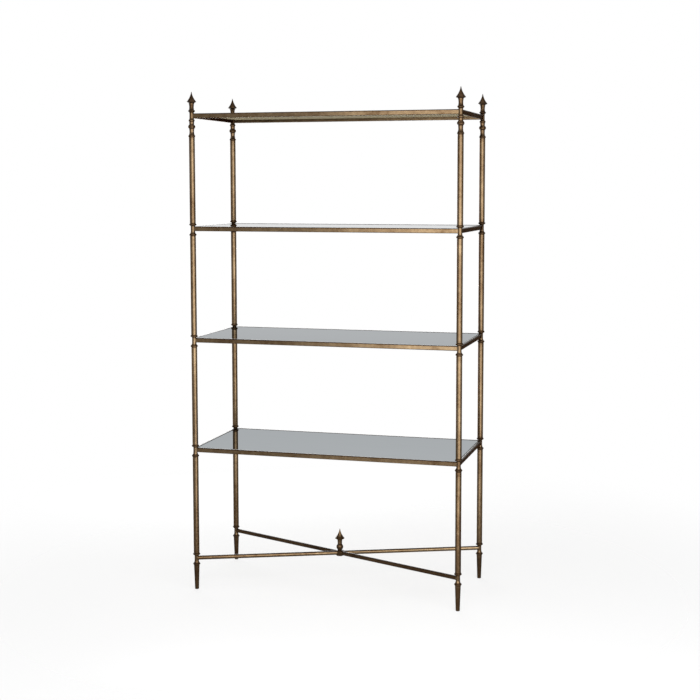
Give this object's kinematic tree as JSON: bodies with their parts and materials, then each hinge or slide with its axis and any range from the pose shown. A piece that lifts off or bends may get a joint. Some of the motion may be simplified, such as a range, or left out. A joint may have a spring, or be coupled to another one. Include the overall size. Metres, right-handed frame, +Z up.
{
  "type": "etagere",
  "caption": "Tall free-standing metal etagere with turned posts, spire finials, framed mirror shelves and a low crossed stretcher, for books and display.",
  "frame": {"origin": "on the floor, under the middle of the plan", "axes": "+X across the front to the right, +Y towards the back, +Z up"},
  "size_m": [1.0764, 0.4764, 1.9305],
  "materials": {
    "antique_gold": "antiqued gold leaf over dark brown on forged steel, satin",
    "mirror_glass": "polished silvered plate with a painted back",
    "stud_steel": "plain zinc-plated steel"
  },
  "bodies": {
    "frame": {"crown_hubs": "antique_gold", "front_left_finial": "antique_gold", "front_left_foot": "antique_gold", "front_left_post_tube_1": "antique_gold", "front_left_post_tube_2": "antique_gold", "front_left_post_tube_3": "antique_gold", "front_left_post_tube_4": "antique_gold", "front_right_finial": "antique_gold", "front_right_foot": "antique_gold", "front_right_post_tube_1": "antique_gold", "front_right_post_tube_2": "antique_gold", "front_right_post_tube_3": "antique_gold", "front_right_post_tube_4": "antique_gold", "joint_studs": "stud_steel", "rear_left_finial": "antique_gold", "rear_left_foot": "antique_gold", "rear_left_post_tube_1": "antique_gold", "rear_left_post_tube_2": "antique_gold", "rear_left_post_tube_3": "antique_gold", "rear_left_post_tube_4": "antique_gold", "rear_right_finial": "antique_gold", "rear_right_foot": "antique_gold", "rear_right_post_tube_1": "antique_gold", "rear_right_post_tube_2": "antique_gold", "rear_right_post_tube_3": "antique_gold", "rear_right_post_tube_4": "antique_gold", "stretcher_centre_hub": "antique_gold", "stretcher_corner_hubs": "antique_gold", "stretcher_finial": "antique_gold", "stretcher_front_left_arm": "antique_gold", "stretcher_front_right_arm": "antique_gold", "stretcher_rear_left_arm": "antique_gold", "stretcher_rear_right_arm": "antique_gold", "tier_1_corner_hubs": "antique_gold", "tier_1_front_rail": "antique_gold", "tier_1_ledges": "antique_gold", "tier_1_left_rail": "antique_gold", "tier_1_rear_rail": "antique_gold", "tier_1_right_rail": "antique_gold", "tier_2_corner_hubs": "antique_gold", "tier_2_front_rail": "antique_gold", "tier_2_ledges": "antique_gold", "tier_2_left_rail": "antique_gold", "tier_2_rear_rail": "antique_gold", "tier_2_right_rail": "antique_gold", "tier_3_corner_hubs": "antique_gold", "tier_3_front_rail": "antique_gold", "tier_3_ledges": "antique_gold", "tier_3_left_rail": "antique_gold", "tier_3_rear_rail": "antique_gold", "tier_3_right_rail": "antique_gold", "tier_4_front_rail": "antique_gold", "tier_4_ledges": "antique_gold", "tier_4_left_rail": "antique_gold", "tier_4_rear_rail": "antique_gold", "tier_4_right_rail": "antique_gold"},
    "tier_1_mirror_panel": {"tier_1_mirror_panel": "mirror_glass"},
    "tier_2_mirror_panel": {"tier_2_mirror_panel": "mirror_glass"},
    "tier_3_mirror_panel": {"tier_3_mirror_panel": "mirror_glass"},
    "tier_4_mirror_panel": {"tier_4_mirror_panel": "mirror_glass"}
  },
  "joints": [
    {"name": "tier_1_panel_lift", "type": "slide", "parent": "frame", "child": "tier_1_mirror_panel", "axis": [0, 0, 1], "range_m": [0, 0.4]},
    {"name": "tier_2_panel_lift", "type": "slide", "parent": "frame", "child": "tier_2_mirror_panel", "axis": [0, 0, 1], "range_m": [0, 0.4]},
    {"name": "tier_3_panel_lift", "type": "slide", "parent": "frame", "child": "tier_3_mirror_panel", "axis": [0, 0, 1], "range_m": [0, 0.4]},
    {"name": "tier_4_panel_lift", "type": "slide", "parent": "frame", "child": "tier_4_mirror_panel", "axis": [0, 0, 1], "range_m": [0, 0.4]}
  ]
}
